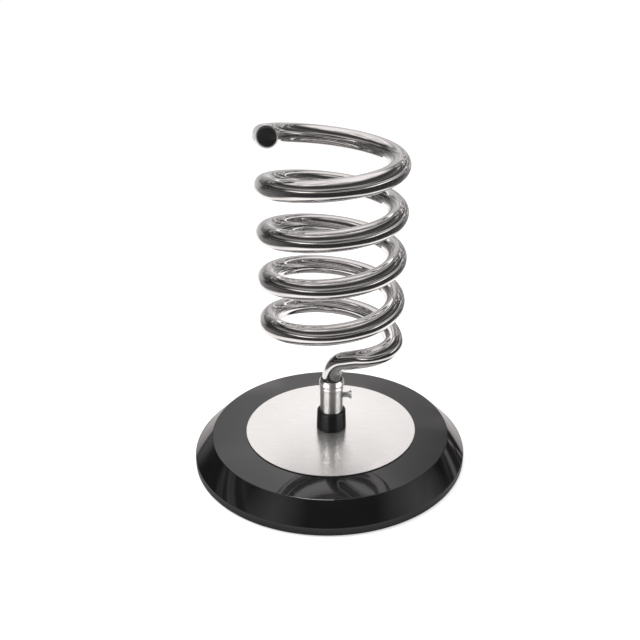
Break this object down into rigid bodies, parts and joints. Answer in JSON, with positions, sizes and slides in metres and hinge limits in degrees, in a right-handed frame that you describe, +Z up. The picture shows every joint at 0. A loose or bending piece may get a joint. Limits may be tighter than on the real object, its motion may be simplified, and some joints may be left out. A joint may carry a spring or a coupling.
{
  "type": "hair dryer stand",
  "caption": "Tabletop hair dryer stand: a chromed tube coil on a clamped swivel post over a weighted round gloss black base.",
  "frame": {"origin": "centre of the round base, on the surface that its feet stand on", "axes": "+Z up along the post and the coil's axis, +X towards the thumb screw, -Y towards the front of the picture"},
  "size_m": [0.233, 0.233, 0.2838],
  "materials": {
    "base_shell": "high gloss black moulding",
    "bottom_cover": "satin black",
    "plated_fixings": "zinc plated steel",
    "rubber_feet": "matt black",
    "ballast": "as cast",
    "trim_disc": "brushed stainless sheet",
    "socket": "satin black",
    "sleeve": "satin stainless tube",
    "bush_and_glide": "black nylon",
    "screw_pad": "natural nylon",
    "chromed_tube": "bright chrome plate on steel",
    "end_plug": "black moulded plug"
  },
  "bodies": {
    "base": {"base_shell": "base_shell", "bottom_cover": "bottom_cover", "cover_screw_1": "plated_fixings", "cover_screw_2": "plated_fixings", "cover_screw_3": "plated_fixings", "cover_screw_4": "plated_fixings", "rubber_foot_1": "rubber_feet", "rubber_foot_2": "rubber_feet", "rubber_foot_3": "rubber_feet", "rubber_foot_4": "rubber_feet", "ballast_disc": "ballast", "centre_bolt": "plated_fixings", "flat_washer": "plated_fixings", "lock_washer": "plated_fixings", "trim_disc": "trim_disc", "socket": "socket", "sleeve": "sleeve", "sleeve_bush": "bush_and_glide", "anchor_plug": "plated_fixings"},
    "stem_foot": {"stem_glide": "bush_and_glide"},
    "coil": {"coil_tube": "chromed_tube", "end_plug": "end_plug"},
    "screw_tip": {"screw_pad": "screw_pad"},
    "screw": {"thumb_screw": "chromed_tube"}
  },
  "joints": [
    {"name": "stem_lift", "type": "slide", "parent": "base", "child": "stem_foot", "axis": [0, 0, 1], "range_m": [0, 0.014]},
    {"name": "coil_swivel", "type": "hinge", "parent": "stem_foot", "child": "coil", "pos_m": [0, 0, 0.06], "axis": [0, 0, 1], "continuous": true},
    {"name": "screw_travel", "type": "slide", "parent": "base", "child": "screw_tip", "axis": [1, 0, 0], "range_m": [0, 0.0008]},
    {"name": "screw_turn", "type": "hinge", "parent": "screw_tip", "child": "screw", "pos_m": [0.012, 0, 0.0545], "axis": [1, 0, 0], "range_deg": [0, 360]}
  ],
  "couplings": [
    {"joint": "screw_turn", "follows": "screw_travel", "rad_per_m": 7854}
  ]
}
